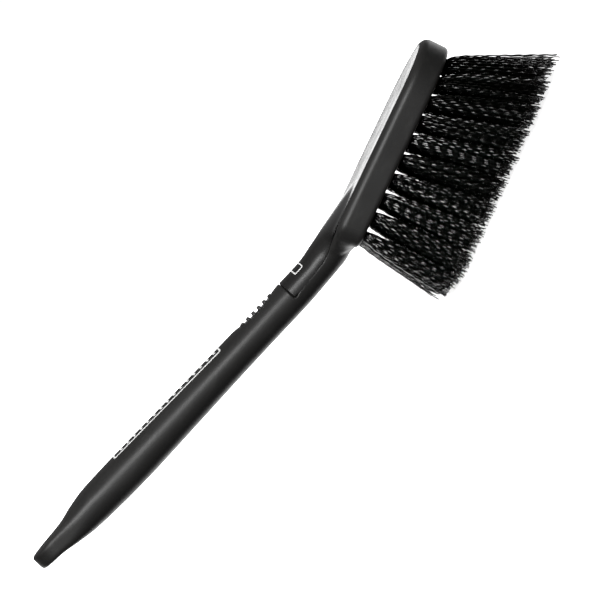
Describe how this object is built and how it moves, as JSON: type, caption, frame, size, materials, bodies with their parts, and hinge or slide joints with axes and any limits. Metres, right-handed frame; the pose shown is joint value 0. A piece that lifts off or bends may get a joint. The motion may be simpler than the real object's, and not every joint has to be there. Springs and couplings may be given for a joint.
{
  "type": "wheel brush",
  "caption": "One-hand wheel scrub brush: rounded flat head with rows of crimped filament tufts on an angled, soft-gripped handle with a hanging slot.",
  "frame": {"origin": "centre of the flat back plate of the head, in its face", "axes": "+X along the head towards its toe, +Z out of the back plate away from the tufts, +Y across; the handle rises towards -X and +Z in the plane Y = 0"},
  "size_m": [0.3145, 0.0644, 0.12],
  "materials": {
    "hard_plastic": "gloss",
    "soft_rubber": "satin",
    "bristle": "satin",
    "anchor_wire": "satin",
    "pad_print": "matte"
  },
  "bodies": {
    "root": {"core": "hard_plastic", "soft_overmould": "soft_rubber", "tufts_row_01": "bristle", "tufts_row_02": "bristle", "tufts_row_03": "bristle", "tufts_row_04": "bristle", "tufts_row_05": "bristle", "tufts_row_06": "bristle", "tufts_row_07": "bristle", "tufts_row_08": "bristle", "tufts_row_09": "bristle", "tufts_row_10": "bristle", "anchors_row_01": "anchor_wire", "anchors_row_02": "anchor_wire", "anchors_row_03": "anchor_wire", "anchors_row_04": "anchor_wire", "anchors_row_05": "anchor_wire", "anchors_row_06": "anchor_wire", "anchors_row_07": "anchor_wire", "anchors_row_08": "anchor_wire", "anchors_row_09": "anchor_wire", "anchors_row_10": "anchor_wire"}
  },
  "joints": []
}
